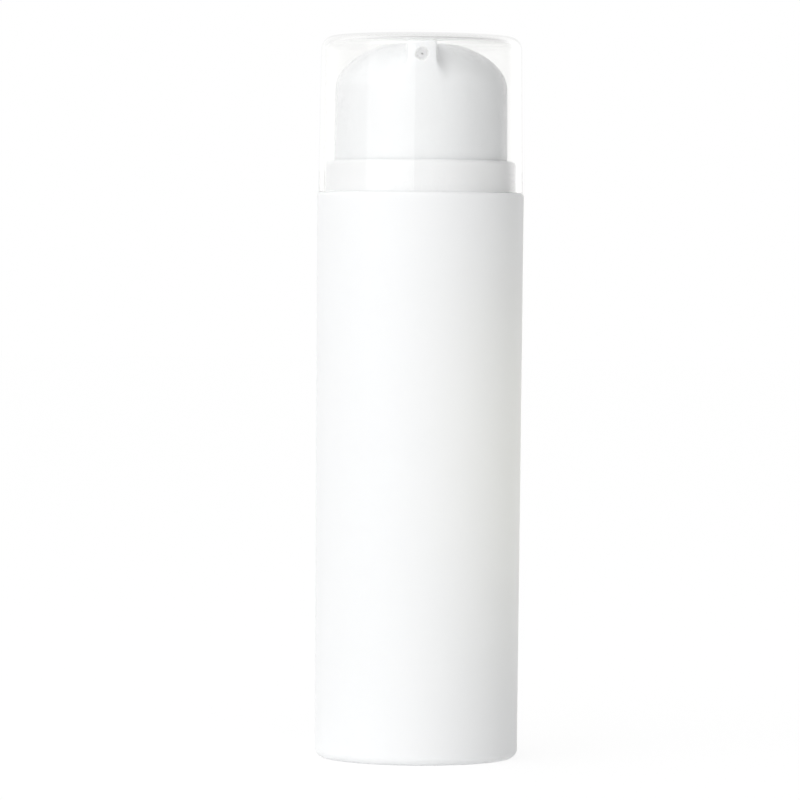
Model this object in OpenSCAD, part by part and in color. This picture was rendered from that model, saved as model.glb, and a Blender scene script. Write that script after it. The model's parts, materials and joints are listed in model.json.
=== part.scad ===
// Airless pump bottle with a clear overcap.
// Origin at the middle of the base, on the ground. +Z goes up, and the spout looks towards -Y.
// Every length is in millimetres.

/* [Bottle] */
// Outer diameter at the shoulder
bottle_d = 49; // [44:0.5:60]
// Height of the shoulder above the ground
bottle_h = 134; // [110:1:180]
// Wall round the bore, measured at the shoulder
bottle_wall = 2.9; // [2.6:0.1:3.4]
// How much the outer radius shrinks from shoulder to foot
bottle_taper = 0.45; // [0.1:0.05:0.6]
// Rounding of the foot
foot_r = 2; // [1:0.1:2.4]
// Rounding of the shoulder
shoulder_r = 0.8; // [0.4:0.1:0.9]
// Thickness of the base
base_t = 2; // [1.4:0.1:3]
// Depth of the hollow under the base
base_recess = 1.2; // [0.6:0.1:2]
// Width of the ring that the bottle stands on, with its two rounded edges
base_ring_w = 6; // [5:0.5:8]
// Diameter of the air hole in the base
vent_d = 6; // [5.9:0.1:8]
// Wall left round the wider mouth
mouth_wall = 1.9; // [1.7:0.1:2.1]
// Depth of the wider mouth, down to its ledge
mouth_depth = 12; // [11:0.5:14]

/* [Collar] */
// Height of the collar that shows above the shoulder
collar_show = 7.5; // [6:0.5:10]
// Wall of the collar
collar_wall = 1.6; // [1.4:0.1:2]
// Rounding of the collar's upper edge
collar_edge_r = 1; // [0.5:0.1:1.1]
// How far the snap bead stands out
snap_out = 0.35; // [0.2:0.05:0.45]
// Half the height of the snap bead
snap_half = 0.9; // [0.6:0.1:1.2]

/* [Press head] */
// Height of the dome's top above the collar
head_rise = 28.6; // [28:0.2:32]
// Height of the domed part
dome_h = 11.7; // [11:0.1:12.4]
// Wall of the press head
head_wall = 1.3; // [1.1:0.1:1.6]
// How much the head's radius shrinks from skirt to dome
head_taper = 0.2; // [0.1:0.05:0.4]
// Length of skirt hidden in the collar at rest
skirt_hidden = 5; // [4:0.5:6]
// Width of the spout block
spout_w = 7.5; // [7:0.1:9]
// How far the spout block's top lies under the dome's top
spout_drop = 0.7; // [0.5:0.1:1]
// How far the spout block's face stands back from the dome's widest part
spout_set_back = 0.05; // [0.03:0.01:0.1]
// How far the middle of the nozzle lies under the spout block's top
nozzle_drop = 3.3; // [2.9:0.1:3.6]
// Diameter of the nozzle, a round recess in the spout's face
nozzle_d = 3.5; // [3.2:0.1:3.8]
// Diameter of the nozzle at its floor
nozzle_floor_d = 3.1; // [2.6:0.1:3.2]
// Depth of the nozzle
nozzle_depth = 3.4; // [2.6:0.1:4]
// Diameter of the orifice in the nozzle's floor
orifice_d = 0.7; // [0.6:0.1:1.4]
// Length of the orifice between nozzle and duct
orifice_len = 1.2; // [0.8:0.1:2]
// Bore of the duct that feeds the orifice
duct_d = 2.8; // [2.2:0.1:3.2]
// Wall of the duct that feeds the orifice
duct_wall = 0.7; // [0.6:0.05:0.9]
// Thickness of the plate that fixes the core in the head
core_plate_t = 1.2; // [1:0.1:1.6]

/* [Overcap] */
// Wall of the overcap
cap_wall = 1.1; // [0.9:0.1:1.2]
// Thickness of the overcap's top
cap_top_t = 1.1; // [0.9:0.1:1.6]
// How far the rim stands back from the bottle's side
cap_step = 0.25; // [0.15:0.05:0.4]
// How much the outer radius shrinks from rim to top
cap_taper = 0.45; // [0.2:0.05:0.6]
// Rounding of the upper edge
cap_edge_r = 3; // [2:0.1:3.4]
// How far the middle of the top stands above its edge
cap_crown = 0.75; // [0.4:0.05:1]
// Number of grip ribs inside the rim
grip_count = 2; // [2:1:6]
// Height of a grip rib
grip_h = 5; // [3:0.5:6]
// Width of a grip rib
grip_w = 1.2; // [0.8:0.1:2]

/* [Pump] */
// Stroke of the press head
stroke = 5.5; // [4:0.25:6]
// Bore of the metering chamber
chamber_d = 11.2; // [11:0.1:12]
// Wall of the metering chamber
chamber_wall = 1; // [0.9:0.1:1.1]
// Outer diameter of the stem
stem_d = 6; // [5.8:0.1:6.2]
// Bore of the stem
stem_bore_d = 3.2; // [2.8:0.1:3.4]
// Length of stem in the socket of the head
stem_in_head = 7.8; // [6:0.1:8.5]
// Diameter of a port in the stem
port_d = 1.2; // [1:0.1:1.4]
// Free travel of the piston along the stem
lost_motion = 1; // [0.7:0.05:1.2]
// Height of the piston
piston_h = 4.95; // [4.8:0.05:5.6]
// Diameter of the inlet ball
ball_d = 4.8; // [4.5:0.1:5]
// Lift of the inlet ball
ball_lift = 1.2; // [0.8:0.1:1.6]
// Diameter of the inlet hole
inlet_d = 2.6; // [2:0.1:2.8]
// Length of the inlet hole under its seat
inlet_len = 2.8; // [2:0.1:3.4]
// Height of the boss that carries the pump
boss_h = 8.2; // [7.6:0.1:9]
// Thickness of the pump's flanges
flange_t = 1.2; // [1:0.1:1.5]
// Depth of the guide's plug in the chamber
plug_len = 2.8; // [2:0.1:3]
// Wall of the guide's skirt
guide_wall = 1.05; // [1:0.05:1.3]
// Length of the guide's skirt
guide_skirt_len = 4; // [3.8:0.1:4.6]
// Wall of the socket that holds the stem
socket_wall = 2; // [1.4:0.1:2.4]

/* [Spring] */
// Height of the fitted spring
spring_h = 14; // [12.5:0.25:15]
// Diameter of the spring, middle of wire to middle of wire
spring_d = 9.6; // [9.4:0.1:10]
// Diameter of the wire
wire_d = 0.9; // [0.7:0.05:1]
// Number of turns
spring_turns = 7; // [5:0.5:7]

/* [Carrier and seals] */
// Thickness of the carrier's plate
carrier_t = 1.8; // [1.4:0.1:2.2]
// Number of ribs on the carrier
rib_count = 8; // [4:1:12]
// Thickness of a rib
rib_t = 1; // [0.8:0.1:1.4]
// Wall of the boss that carries the pump
boss_wall = 1.5; // [1.3:0.1:1.7]
// Wall of the ring that stands in the collar
spigot_wall = 1.2; // [1:0.1:1.6]
// Height of that ring above the plate
spigot_h = 2.7; // [2:0.1:3.4]
// Height of a rib
rib_h = 3; // [2:0.1:3.4]
// Thickness of the neck gasket
gasket_t = 1; // [0.8:0.1:1.2]
// How far the neck gasket reaches over the edge of its ledge
gasket_over = 0.6; // [0.3:0.1:1]
// Thickness of the washer under the pump's flange
washer_t = 0.6; // [0.4:0.1:0.8]

/* [Follower piston] */
// Height of the follower piston
follower_h = 17.8; // [17.4:0.1:20]
// Wall of the follower piston
follower_wall = 1.3; // [1:0.1:1.6]
// How far the follower's well stands off the base of the bottle
well_lift = 0.9; // [0.6:0.1:1.4]
// Gap between the follower's well and the pump, on the radius
well_gap = 1.8; // [1.2:0.1:2.4]
// Height of a wiping lip
lip_h = 1.6; // [1.2:0.1:2.4]
// How far the follower's middle stands back from its lips
lip_out = 0.65; // [0.4:0.05:0.9]

/* [Clearances] */
// Running clearance of a piston, stem or lip, on the radius
run_gap = 0.05; // [0.02:0.01:0.08]
// Clearance of pieces that are pushed together, on the radius
push_gap = 0.05; // [0.03:0.01:0.08]
// Gap between the press head and the collar, on the radius
head_gap = 0.35; // [0.25:0.05:0.5]
// Gap between the overcap's ribs and the collar, on the radius
grip_gap = 0.08; // [0.05:0.01:0.15]
// Room between the dome and the overcap's top
head_room = 0.6; // [0.4:0.1:1.5]
// Room between moving pieces at the end of a stroke
end_gap = 0.6; // [0.4:0.1:1]

/* [Hidden] */
$fn = 96;
arc_steps = 8;
dome_steps = 24;
// How far a cutting shape runs past what it cuts, and how far joined shapes reach into each other
overrun = 1;
sink = 0.3;

// Bottle, from the ground up
bottle_r = bottle_d / 2;
bore_r = bottle_r - bottle_wall;
mouth_r = bottle_r - mouth_wall;
foot_outer_r = bottle_r - bottle_taper;
z_floor = base_recess + base_t;
z_ledge = bottle_h - mouth_depth;

// Carrier and collar, stacked on the ledge of the mouth
z_carrier = z_ledge + gasket_t;
z_plate = z_carrier + carrier_t;
z_collar = bottle_h + collar_show;
collar_r = mouth_r - push_gap;
collar_bore_r = collar_r - collar_wall;
z_snap = (z_plate + bottle_h) / 2;
spigot_r = collar_bore_r - push_gap;
spigot_bore_r = spigot_r - spigot_wall;
z_spigot = z_plate + spigot_h;

// Pump, hung in the boss of the carrier
chamber_r = chamber_d / 2;
housing_r = chamber_r + chamber_wall;
boss_bore_r = housing_r + push_gap;
boss_r = boss_bore_r + boss_wall;
z_boss = z_plate + boss_h;
z_flange = z_boss + washer_t;
z_guide = z_flange + flange_t;
z_guide_top = z_guide + flange_t;
z_plug = z_guide - plug_len;
guide_skirt_r = boss_r + push_gap;
guide_outer_r = guide_skirt_r + guide_wall;
z_guide_skirt = z_guide - guide_skirt_len;
clip_out = 0.3;
clip_half = 0.7;
clip_drop = 2.4;
z_clip = z_boss - clip_drop;

// Stem, piston and valve head, hung from the guide
stem_r = stem_d / 2;
stem_bore_r = stem_bore_d / 2;
guide_bore_r = stem_r + run_gap;
stop_out = 1.4;
stop_r = stem_r + stop_out;
z_stop = z_plug - flange_t;
z_piston_top = z_stop - lost_motion;
z_piston = z_piston_top - piston_h;
sleeve_gap = 0.6;
sleeve_wall = 0.9;
sleeve_bore_r = stem_r + sleeve_gap;
sleeve_r = sleeve_bore_r + sleeve_wall;
z_sleeve_roof = z_piston_top - sleeve_wall;
valve_out = 0.8;
valve_r = sleeve_bore_r + valve_out;
valve_rim_t = 1.6;
z_cone = z_piston - run_gap - (valve_r - sleeve_bore_r);
z_stem = z_cone + valve_r - stem_r;
z_valve = z_cone - valve_rim_t;
tip_len = 1.6;
z_tip = z_stem + tip_len;
z_port = (z_tip + z_sleeve_roof) / 2;
z_spring_top = z_guide_top + spring_h;
z_socket = z_spring_top + flange_t;
z_stem_top = z_socket + stem_in_head;

// Inlet valve, under the lowest place of the valve head
ball_r = ball_d / 2;
ball_gap = 0.05;
nib_t = 0.8;
nib_in = 0.9;
nib_count = 4;
z_nib = z_valve - stroke - end_gap - nib_t;
z_ball = z_nib - 2 * ball_gap - ball_lift - ball_r;
ball_room_gap = 0.5;
ball_room_r = ball_r + ball_room_gap;
inlet_r = inlet_d / 2;
z_cone_tip = z_ball - ball_gap - ball_r * sqrt(2);
z_seat = z_cone_tip + inlet_r;
z_room = z_cone_tip + ball_room_r;
z_inlet = z_seat - inlet_len;
inlet_wall = 1.4;
inlet_outer_r = inlet_r + inlet_wall;

// Press head
z_apex = z_collar + head_rise;
z_dome = z_apex - dome_h;
skirt_r = collar_bore_r - head_gap;
dome_r = skirt_r - head_taper;
z_skirt = z_collar - skirt_hidden;
shelf_drop = 1.2;
shelf_in = 0.8;
z_shelf = z_dome - shelf_drop;
head_bore_r = dome_r - head_wall;
shelf_bore_r = head_bore_r - shelf_in;
z_spout_top = z_apex - spout_drop;
z_orifice = z_spout_top - nozzle_drop;
spout_face_r = dome_r - spout_set_back;
orifice_r = orifice_d / 2;
duct_boss_wall = 0.8;
nozzle_r = nozzle_d / 2;
nozzle_floor_r = nozzle_floor_d / 2;
duct_bore_r = duct_d / 2;
duct_r = duct_bore_r + duct_wall;
duct_boss_r = duct_r + push_gap + duct_boss_wall;
y_duct_boss = 9;
y_duct_end = spout_face_r - nozzle_depth - orifice_len;
core_plate_r = head_bore_r - push_gap;
socket_r = stem_r + socket_wall;

// Overcap
z_ceiling = z_apex + head_room;
z_cap = z_ceiling + cap_top_t;
cap_r = bottle_r - cap_step;
cap_top_r = cap_r - cap_taper;
cap_inner_edge_r = cap_edge_r - cap_wall;
grip_r = collar_r + grip_gap;

// Follower piston
follower_r = bore_r - run_gap;
z_follower_top = z_floor + follower_h;
web_drop = 0.6;
web_t = 1.4;
well_t = 1.2;
z_web_top = z_follower_top - web_drop;
z_web = z_web_top - web_t;
well_r = housing_r + well_gap;
z_well_under = z_floor + well_lift;
z_well = z_well_under + well_t;

// Points of an arc about a centre, from one angle to another
function arc(centre, radius, from, to) =
    [for (i = [0 : arc_steps]) let (a = from + (to - from) * i / arc_steps)
        [centre[0] + radius * cos(a), centre[1] + radius * sin(a)]];

// Points of a quarter ellipse, from the side up to the axis
function dome_line(half_w, height, foot_z) =
    [for (i = [0 : dome_steps]) let (a = 90 * i / dome_steps)
        [half_w * cos(a), foot_z + height * sin(a)]];

// Points of a crowned top, from its edge to the axis
function crown_line(edge_w, edge_z, crown) =
    [for (i = [0 : arc_steps]) let (k = 1 - i / arc_steps) [edge_w * k, edge_z + crown * (1 - k * k)]];

// A plain ring between two radii
module ring(inner, outer, low, high) {
    translate([0, 0, low])
        difference() {
            cylinder(r = outer, h = high - low);
            translate([0, 0, -overrun]) cylinder(r = inner, h = high - low + 2 * overrun);
        }
}

// A ring with a low triangle as its section, for a snap bead or its groove
module bead(radius, out, half, middle) {
    rotate_extrude()
        polygon([[radius - sink, middle - half], [radius, middle - half], [radius + out, middle],
            [radius, middle + half], [radius - sink, middle + half]]);
}

module bottle() {
    ring_edge_r = foot_outer_r - base_ring_w;
    outline = concat(
        [[0, base_recess], [ring_edge_r, base_recess], [ring_edge_r + base_recess, 0]],
        arc([foot_outer_r - foot_r, foot_r], foot_r, -90, 0),
        arc([bottle_r - shoulder_r, bottle_h - shoulder_r], shoulder_r, 0, 90),
        [[mouth_r, bottle_h], [mouth_r, z_ledge], [bore_r, z_ledge], [bore_r, z_floor],
            [0, z_floor]]);
    color("whitesmoke")
        difference() {
            rotate_extrude() polygon(outline);
            bead(mouth_r, snap_out + push_gap, snap_half + push_gap, z_snap);
            cylinder(d = vent_d, h = z_floor + overrun);
        }
}

module collar() {
    outline = concat(
        [[collar_bore_r, z_plate], [collar_r, z_plate]],
        arc([collar_r - collar_edge_r, z_collar - collar_edge_r], collar_edge_r, 0, 90),
        [[collar_bore_r, z_collar]]);
    color("whitesmoke") {
        rotate_extrude() polygon(outline);
        bead(collar_r, snap_out, snap_half, z_snap);
    }
}

module pump_carrier() {
    rib_len = spigot_bore_r - boss_r + 2 * sink;
    color("white")
        difference() {
            union() {
                cylinder_between(collar_r, z_carrier, z_plate);
                cylinder_between(boss_r, z_carrier, z_boss);
                ring(spigot_bore_r, spigot_r, z_carrier, z_spigot);
                bead(boss_r, clip_out, clip_half, z_clip);
                for (i = [0 : rib_count - 1])
                    rotate([0, 0, 360 * i / rib_count])
                        translate([boss_r - sink, -rib_t / 2, z_plate - sink])
                            cube([rib_len, rib_t, rib_h + sink]);
            }
            cylinder_between(boss_bore_r, z_carrier - overrun, z_boss + overrun);
        }
}

module cylinder_between(radius, low, high) {
    translate([0, 0, low]) cylinder(r = radius, h = high - low);
}

module neck_gasket() {
    color("gainsboro") ring(bore_r - gasket_over, collar_r, z_ledge, z_carrier);
}

module pump_housing() {
    foot_step = 0.6;
    foot_slope = 2.4;
    throat_slope = 0.4;
    outline = [[inlet_r, z_inlet], [inlet_outer_r, z_inlet], [inlet_outer_r, z_seat - foot_step],
        [housing_r, z_seat - foot_step + foot_slope], [housing_r, z_flange], [boss_r, z_flange],
        [boss_r, z_guide], [chamber_r, z_guide], [chamber_r, z_nib + nib_t + throat_slope],
        [ball_room_r, z_nib + nib_t], [ball_room_r, z_room], [inlet_r, z_seat]];
    color("white") {
        rotate_extrude() polygon(outline);
        for (i = [0 : nib_count - 1])
            rotate([0, 0, 360 * (i + 0.5) / nib_count])
                translate([ball_room_r - nib_in, -nib_t / 2, z_nib])
                    cube([nib_in + sink, nib_t, nib_t]);
    }
}

module housing_gasket() {
    color("gainsboro") ring(boss_bore_r, boss_r, z_boss, z_flange);
}

module stem_guide() {
    color("white")
        difference() {
            union() {
                cylinder_between(chamber_r - push_gap, z_plug, z_guide_top);
                cylinder_between(guide_outer_r, z_guide, z_guide_top);
                ring(guide_skirt_r, guide_outer_r, z_guide_skirt, z_guide_top);
                cylinder_between(spring_seat_r, z_guide, z_guide_top + flange_t);
            }
            bead(guide_skirt_r, clip_out, clip_half + push_gap, z_clip);
            cylinder_between(guide_bore_r, z_plug - overrun, z_guide_top + flange_t + overrun);
        }
}

module stem() {
    seat_lip = 0.3;
    color("white")
        difference() {
            union() {
                cylinder_between(stem_r, z_stem, z_stem_top);
                cylinder_between(stop_r, z_stop, z_plug);
                cylinder_between((spring_d + wire_d) / 2 + seat_lip, z_spring_top, z_socket);
            }
            cylinder_between(stem_bore_r, z_stem - overrun, z_stem_top + overrun);
            for (turn = [0, 90])
                translate([0, 0, z_port])
                    rotate([0, 90, turn]) cylinder(d = port_d, h = 2 * stem_d, center = true);
        }
}

module stem_tip() {
    pin_r = stem_bore_r - push_gap;
    edge = 0.4;
    outline = [[0, z_valve], [valve_r - edge, z_valve], [valve_r, z_valve + edge],
        [valve_r, z_cone], [stem_r, z_stem], [pin_r, z_stem], [pin_r, z_tip - edge],
        [pin_r - edge, z_tip], [0, z_tip]];
    color("white") rotate_extrude() polygon(outline);
}

// The spring is one helical tube. Its end turns lie closer than the middle ones.
rings_a_turn = 8;
ring_count = round(rings_a_turn * spring_turns);
wire_sides = 6;
coil_low = z_guide_top + wire_d / 2 + ball_gap;
coil_high = z_spring_top - wire_d / 2 - ball_gap;
end_turn_gap = 0.5;
end_pitch = wire_d + end_turn_gap;
mid_pitch = (coil_high - coil_low - 2 * end_pitch) / (spring_turns - 2);
seat_gap = 0.15;
spring_seat_r = (spring_d - wire_d) / 2 * cos(180 / rings_a_turn) - seat_gap;

function coil_z(turn) =
    turn < 1 ? coil_low + end_pitch * turn
    : turn > spring_turns - 1 ? coil_high - end_pitch * (spring_turns - turn)
    : coil_low + end_pitch + mid_pitch * (turn - 1);

function coil_point(i, j) =
    let (turn = spring_turns * i / ring_count, a = 360 * turn, b = 360 * (j + 0.5) / wire_sides,
        out = spring_d / 2 + wire_d / 2 * cos(b))
        [out * cos(a), out * sin(a), coil_z(turn) + wire_d / 2 * sin(b)];

// Least distance between points of the tube that lie about one turn apart
coil_gap = min([for (i = [0 : ring_count - 6], k = [i + 6 : min(i + 10, ring_count)],
    j = [0 : wire_sides - 1], m = [0 : wire_sides - 1])
        norm(coil_point(i, j) - coil_point(k, m))]);
echo(spring_gap_to_itself = coil_gap);

module spring() {
    last = ring_count * wire_sides;
    points = [for (i = [0 : ring_count], j = [0 : wire_sides - 1]) coil_point(i, j)];
    sides = [for (i = [0 : ring_count - 1], j = [0 : wire_sides - 1])
        let (a = i * wire_sides + j, b = i * wire_sides + (j + 1) % wire_sides)
            each [[a, a + wire_sides, b + wire_sides], [a, b + wire_sides, b]]];
    ends = [for (j = [1 : wire_sides - 2])
        each [[0, j, j + 1], [last, last + j + 1, last + j]]];
    color("silver") polyhedron(points = points, faces = concat(sides, ends));
}

module pump_piston() {
    lip_r = chamber_r - run_gap;
    waist_in = 0.5;
    waist_r = lip_r - waist_in;
    lip_t = 0.4;
    lip_set = 0.4;
    lip_slope = 1.2;
    z_low = z_piston + lip_set;
    z_high = z_piston_top - lip_set;
    outline = [[sleeve_bore_r, z_piston], [sleeve_r, z_piston], [sleeve_r, z_low + 0.8 * lip_slope],
        [lip_r - lip_t, z_low], [lip_r, z_low], [waist_r, z_low + lip_slope],
        [waist_r, z_high - lip_slope], [lip_r, z_high], [lip_r - lip_t, z_high],
        [sleeve_r, z_high - 0.8 * lip_slope], [sleeve_r, z_piston_top],
        [guide_bore_r, z_piston_top], [guide_bore_r, z_sleeve_roof],
        [sleeve_bore_r, z_sleeve_roof]];
    color("ivory") rotate_extrude() polygon(outline);
}

module inlet_ball() {
    color("silver") translate([0, 0, z_ball]) sphere(r = ball_r);
}

// A round bar that lies along Y at the height of the orifice
module y_bar(radius, from, to) {
    translate([0, -from, z_orifice]) rotate([90, 0, 0]) cylinder(r = radius, h = to - from);
}

// The recess in the spout's face, a little wider at the face than at its floor
module nozzle() {
    draft = (nozzle_r - nozzle_floor_r) / nozzle_depth;
    translate([0, nozzle_depth - spout_face_r, z_orifice])
        rotate([90, 0, 0])
            cylinder(r1 = nozzle_floor_r, r2 = nozzle_r + draft * overrun, h = nozzle_depth + overrun);
}

// The spout block ends flush with the head's side and reaches down to where the dome starts
module spout_block() {
    intersection() {
        translate([-spout_w / 2, -skirt_r - overrun, z_dome])
            cube([spout_w, skirt_r + overrun - y_duct_end + overrun, z_spout_top - z_dome]);
        cylinder(r = spout_face_r, h = z_apex);
    }
    intersection() {
        translate([-spout_w / 2, -y_duct_end - overrun, z_orifice])
            cube([spout_w, y_duct_end + overrun - y_duct_boss, z_spout_top - z_orifice]);
        cylinder(r = spout_face_r, h = z_apex);
    }
    y_bar(duct_boss_r, y_duct_boss, y_duct_end);
}

module actuator() {
    outer = concat([[0, z_skirt], [skirt_r, z_skirt]], dome_line(dome_r, dome_h, z_dome));
    hollow = concat(
        [[0, z_skirt - overrun], [skirt_r - head_wall, z_skirt - overrun], [head_bore_r, z_shelf]],
        dome_line(shelf_bore_r, z_apex - head_wall - z_shelf, z_shelf));
    color("whitesmoke")
        difference() {
            union() {
                difference() {
                    rotate_extrude() polygon(outer);
                    rotate_extrude() polygon(hollow);
                }
                spout_block();
            }
            y_bar(duct_r + push_gap, 0, y_duct_end);
            y_bar(orifice_r, y_duct_boss, bottle_r);
            nozzle();
        }
}

module actuator_core() {
    duct_end_gap = 0.3;
    z_channel = z_stem_top + duct_end_gap;
    color("white")
        difference() {
            union() {
                cylinder_between(socket_r, z_socket, z_orifice);
                cylinder_between(core_plate_r, z_shelf - core_plate_t, z_shelf);
                y_bar(duct_r, -duct_r, y_duct_end - duct_end_gap);
            }
            cylinder_between(guide_bore_r, z_socket - overrun, z_channel);
            cylinder_between(duct_bore_r, z_socket, z_orifice);
            y_bar(duct_bore_r, -duct_bore_r, y_duct_end);
        }
}

module overcap() {
    z_edge = z_cap - cap_crown;
    z_inner_edge = z_ceiling - cap_crown;
    edge_x = cap_top_r - cap_edge_r;
    outer = concat([[0, bottle_h], [cap_r, bottle_h]],
        arc([edge_x, z_edge - cap_edge_r], cap_edge_r, 0, 90),
        crown_line(edge_x, z_edge, cap_crown));
    hollow = concat([[0, bottle_h - overrun], [cap_r - cap_wall, bottle_h - overrun]],
        arc([edge_x, z_inner_edge - cap_inner_edge_r], cap_inner_edge_r, 0, 90),
        crown_line(edge_x, z_inner_edge, cap_crown));
    color("aliceblue", 0.35) {
        difference() {
            rotate_extrude() polygon(outer);
            rotate_extrude() polygon(hollow);
        }
        for (i = [0 : grip_count - 1])
            rotate([0, 0, 360 * i / grip_count])
                translate([grip_r, -grip_w / 2, bottle_h])
                    cube([cap_r - cap_wall / 2 - grip_r, grip_w, grip_h]);
    }
}

module follower_piston() {
    land = 0.5;
    lip_t = 0.8;
    waist_r = follower_r - lip_out;
    skirt_bore_r = waist_r - follower_wall;
    well_outer_r = well_r + follower_wall;
    outline = [[0, z_well_under], [well_outer_r, z_well_under], [well_outer_r, z_web],
        [skirt_bore_r, z_web], [skirt_bore_r, z_floor], [follower_r, z_floor],
        [follower_r, z_floor + land], [waist_r, z_floor + lip_h],
        [waist_r, z_follower_top - lip_h], [follower_r, z_follower_top - land],
        [follower_r, z_follower_top], [follower_r - lip_t, z_follower_top],
        [skirt_bore_r, z_web_top], [well_r, z_web_top], [well_r, z_well], [0, z_well]];
    color("ivory") rotate_extrude() polygon(outline);
}

bottle();
collar();
pump_carrier();
neck_gasket();
pump_housing();
housing_gasket();
stem_guide();
stem();
stem_tip();
spring();
pump_piston();
inlet_ball();
actuator();
actuator_core();
overcap();
follower_piston();
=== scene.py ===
# %% [markdown]
# # An airless pump bottle under its clear overcap
# The real object is a slim white bottle of moulded polypropylene. A trim collar sits in its mouth,
# a domed press head rises out of the collar, and a clear cap stands on the bottle's shoulder.
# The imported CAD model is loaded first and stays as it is. It fixes every size and every place, so
# each new piece below is made where its CAD solid already stands, in metres.

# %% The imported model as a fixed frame
import json
import math
import bmesh
import bpy
import numpy as np
from mathutils import Matrix, Vector


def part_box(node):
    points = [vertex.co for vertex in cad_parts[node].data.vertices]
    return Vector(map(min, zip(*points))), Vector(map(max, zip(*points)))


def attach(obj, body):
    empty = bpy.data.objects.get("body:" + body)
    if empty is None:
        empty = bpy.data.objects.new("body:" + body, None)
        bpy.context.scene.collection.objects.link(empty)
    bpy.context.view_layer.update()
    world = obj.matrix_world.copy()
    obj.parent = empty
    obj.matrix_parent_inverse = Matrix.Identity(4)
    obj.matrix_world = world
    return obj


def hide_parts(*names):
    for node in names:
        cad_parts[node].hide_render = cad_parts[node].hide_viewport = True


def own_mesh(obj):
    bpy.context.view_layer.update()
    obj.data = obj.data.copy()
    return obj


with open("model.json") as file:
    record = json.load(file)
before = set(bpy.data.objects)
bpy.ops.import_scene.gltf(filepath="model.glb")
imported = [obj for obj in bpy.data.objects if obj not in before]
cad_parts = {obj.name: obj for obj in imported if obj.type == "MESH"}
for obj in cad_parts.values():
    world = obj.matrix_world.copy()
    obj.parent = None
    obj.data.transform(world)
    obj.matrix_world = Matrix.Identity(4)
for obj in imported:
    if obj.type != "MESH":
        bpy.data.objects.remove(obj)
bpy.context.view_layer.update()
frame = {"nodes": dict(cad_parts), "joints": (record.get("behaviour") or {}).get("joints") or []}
MM = 0.001

# %% [markdown]
# ## The camera
# The photograph was taken from a little over a metre away with a long lens, from slightly above
# the middle of the bottle, tipped down by 1.4 degrees and rolled by half a degree. Lines that bend
# more at the base than at the shoulder gave the distance. The axes of the camera are written out
# as vectors, because that is easier to check than three angles.

# %% Camera
FRAME_PX = 800
LONG_LENS_PX = 4841.5
SENSOR_MM = 36
PITCH, ROLL = 0.0245, 0.0085
EYE = Vector((-4.46, -1150, 113)) * MM


def aim_camera():
    """Makes the camera and sets its three axes from pitch and roll."""
    data = bpy.data.cameras.new("photo_camera")
    data.sensor_width = SENSOR_MM
    data.lens = LONG_LENS_PX * data.sensor_width / FRAME_PX
    data.clip_start, data.clip_end = 0.01, 50
    camera = bpy.data.objects.new("photo_camera", data)
    bpy.context.scene.collection.objects.link(camera)
    right = Vector((1, 0, 0))
    ahead = Vector((0, math.cos(PITCH), -math.sin(PITCH)))
    up = right.cross(ahead)
    turned_right = right * math.cos(ROLL) + up * math.sin(ROLL)
    turned_up = up * math.cos(ROLL) - right * math.sin(ROLL)
    axes = Matrix((turned_right, turned_up, -ahead)).transposed()
    camera.matrix_world = Matrix.Translation(EYE) @ axes.to_4x4()
    bpy.context.scene.camera = camera
    return camera


camera = aim_camera()
print("lens in mm:", round(camera.data.lens, 1))

# %% [markdown]
# ## One notation for node trees
# Shaders and Geometry Nodes are both networks of sockets. A small class wraps a socket, so that
# `1 - mask` or `angle * 2` writes the Math node itself. Every other kind of node comes from one
# method, which takes the node's type, its settings and the values or links of its sockets.

# %% Sockets as Python values


class Wire:
    """The output of a node, usable in sums with numbers and other wires."""

    def __init__(self, board, socket):
        self.board, self.socket = board, socket

    def out(self, name):
        """Another output of the same node."""
        return Wire(self.board, self.socket.node.outputs[name])

    def maths(self, operation, first, second):
        """A Math node on two values or wires."""
        return self.board.add("ShaderNodeMath", {"operation": operation}, {0: first, 1: second})

    def __add__(self, other): return self.maths("ADD", self, other)
    def __radd__(self, other): return self.maths("ADD", other, self)
    def __sub__(self, other): return self.maths("SUBTRACT", self, other)
    def __rsub__(self, other): return self.maths("SUBTRACT", other, self)
    def __mul__(self, other): return self.maths("MULTIPLY", self, other)
    def __rmul__(self, other): return self.maths("MULTIPLY", other, self)
    def __truediv__(self, other): return self.maths("DIVIDE", self, other)
    def __gt__(self, other): return self.maths("GREATER_THAN", self, other)


class Board:
    """A node tree with the one method that adds nodes to it."""

    def __init__(self, tree):
        self.tree = tree

    def add(self, kind, settings=None, values=None, output=0):
        """A new node with its settings and socket values; returns one of its outputs as a wire."""
        node = self.tree.nodes.new(kind)
        for name, setting in (settings or {}).items():
            if name == "stops":
                ramp = node.color_ramp.elements
                while len(ramp) < len(setting):
                    ramp.new(0.5)
                for stop, (place, grey) in zip(ramp, setting):
                    stop.position, stop.color = place, (grey, grey, grey, 1)
            else:
                setattr(node, name, setting)
        for name, value in (values or {}).items():
            self.feed(node.inputs[name], value)
        return Wire(self, node.outputs[output]) if node.outputs else None

    def feed(self, socket, value):
        """Links a wire, or a list of wires, to a socket, or sets the socket's own value."""
        if isinstance(value, (list, tuple)) and value and isinstance(value[0], Wire):
            for wire in value:
                self.tree.links.new(wire.socket, socket)
        elif isinstance(value, Wire):
            self.tree.links.new(value.socket, socket)
        else:
            socket.default_value = value


# %% [markdown]
# ## Turned shapes
# Bottle, collar and overcap are round about one axis, as most moulded closures are. Spin in bmesh
# could turn their outlines. A Geometry Nodes tree was chosen, because the rule is then visible as
# nodes: a grid has one row for each point of the outline and one column for each step round the
# axis, each of its points looks up its outline point and turns it, and merging closes the seam.

# %% A tree that turns an outline


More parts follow.
